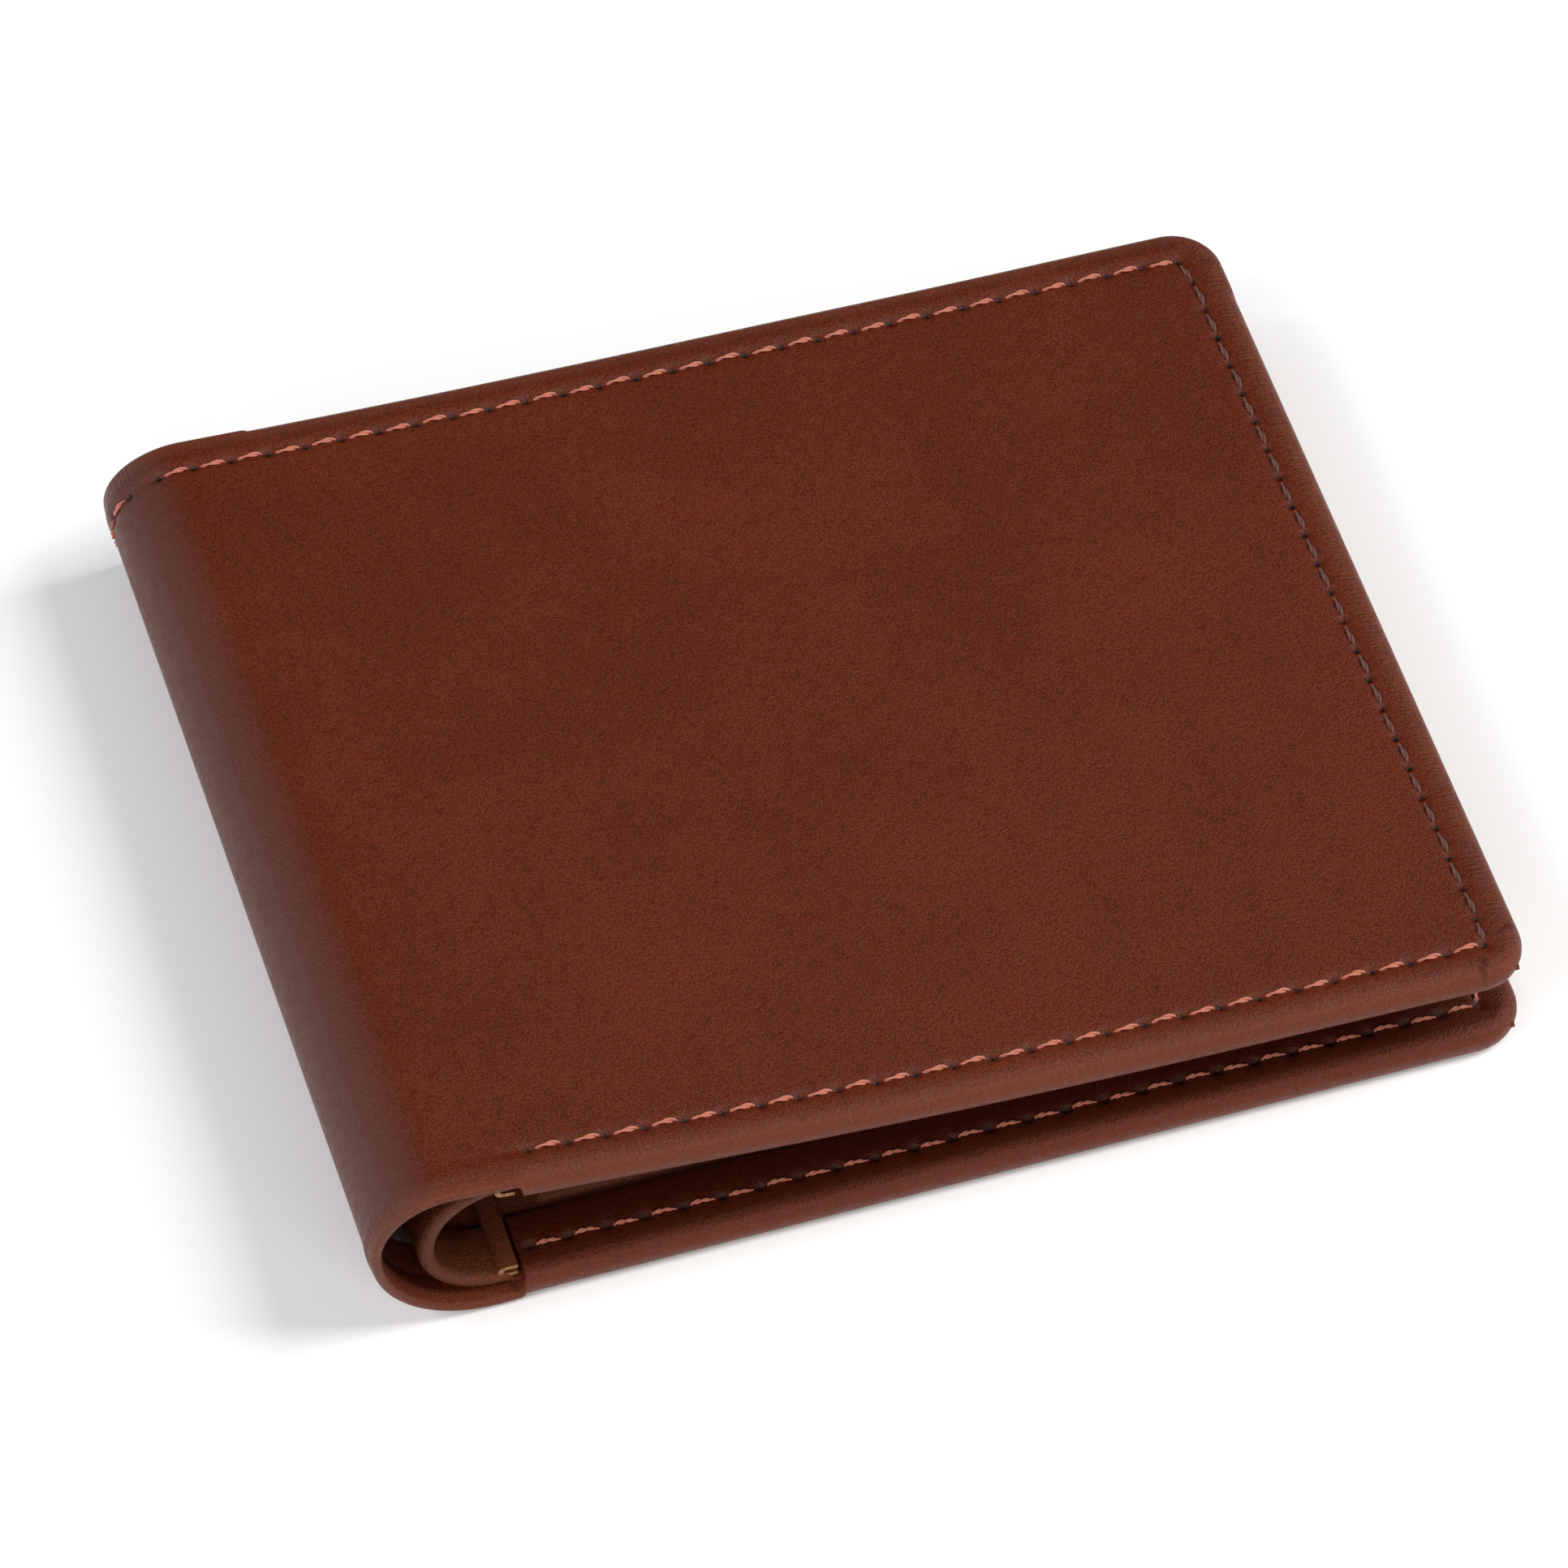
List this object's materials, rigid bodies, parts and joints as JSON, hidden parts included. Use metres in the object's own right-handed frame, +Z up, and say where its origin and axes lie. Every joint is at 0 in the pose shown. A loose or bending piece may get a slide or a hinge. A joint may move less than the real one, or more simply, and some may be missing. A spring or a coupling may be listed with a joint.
{
  "type": "bifold wallet",
  "caption": "Bifold leather wallet with a turned, stitched edge, a lined bill compartment and card slots inside, folding flat open about its spine.",
  "frame": {"origin": "centre of the closed wallet's footprint, on the flat that its back cover lies on", "axes": "+X from the folded spine to the covers' free edges, +Y from the bottom edge to the mouth of the bill compartment, +Z up through the thickness from the back cover to the front cover"},
  "size_m": [0.114, 0.097, 0.0192],
  "materials": {
    "outer_leather": "smooth fine-grained red-brown leather, semi-matt with a waxed edge",
    "inner_leather": "fine pebbled dark red-brown leather, satin",
    "lining": "close dark brown woven lining, matt",
    "thread": "two-ply twisted salmon polyester sewing thread, slight sheen"
  },
  "bodies": {
    "back_cover": {"back_cover_outer_leather": "outer_leather", "back_cover_lining": "lining", "back_cover_inner_panel": "inner_leather", "back_cover_card_pocket_1": "inner_leather", "back_cover_card_pocket_2": "inner_leather", "back_cover_card_panel": "inner_leather", "back_cover_outer_thread": "thread", "back_cover_inner_thread": "thread"},
    "spine_1": {"spine_1_outer_leather": "outer_leather", "spine_1_lining": "lining", "spine_1_inner_panel": "inner_leather", "spine_1_outer_thread": "thread", "spine_1_inner_thread": "thread"},
    "spine_2": {"spine_2_outer_leather": "outer_leather", "spine_2_lining": "lining", "spine_2_inner_panel": "inner_leather", "spine_2_outer_thread": "thread", "spine_2_inner_thread": "thread"},
    "spine_3": {"spine_3_outer_leather": "outer_leather", "spine_3_lining": "lining", "spine_3_inner_panel": "inner_leather", "spine_3_outer_thread": "thread", "spine_3_inner_thread": "thread"},
    "front_cover": {"front_cover_outer_leather": "outer_leather", "front_cover_lining": "lining", "front_cover_inner_panel": "inner_leather", "front_cover_card_pocket_1": "inner_leather", "front_cover_card_pocket_2": "inner_leather", "front_cover_card_panel": "inner_leather", "front_cover_outer_thread": "thread", "front_cover_inner_thread": "thread"}
  },
  "joints": [
    {"name": "spine_fold_1", "type": "hinge", "parent": "back_cover", "child": "spine_1", "pos_m": [-0.04992, 0, 0.00092], "axis": [0, -1, 0], "range_deg": [0, 45.92]},
    {"name": "spine_fold_2", "type": "hinge", "parent": "spine_1", "child": "spine_2", "pos_m": [-0.05622, 0, 0.00742], "axis": [0, -1, 0], "range_deg": [0, 45.92]},
    {"name": "spine_fold_3", "type": "hinge", "parent": "spine_2", "child": "spine_3", "pos_m": [-0.05631, 0, 0.01488], "axis": [0, -1, 0], "range_deg": [0, 45.92]},
    {"name": "cover_fold", "type": "hinge", "parent": "spine_3", "child": "front_cover", "pos_m": [-0.05197, 0, 0.01881], "axis": [0, -1, 0], "range_deg": [0, 45.92]}
  ],
  "couplings": [
    {"joint": "spine_fold_1", "follows": "cover_fold", "ratio": 1},
    {"joint": "spine_fold_2", "follows": "cover_fold", "ratio": 1},
    {"joint": "spine_fold_3", "follows": "cover_fold", "ratio": 1}
  ]
}
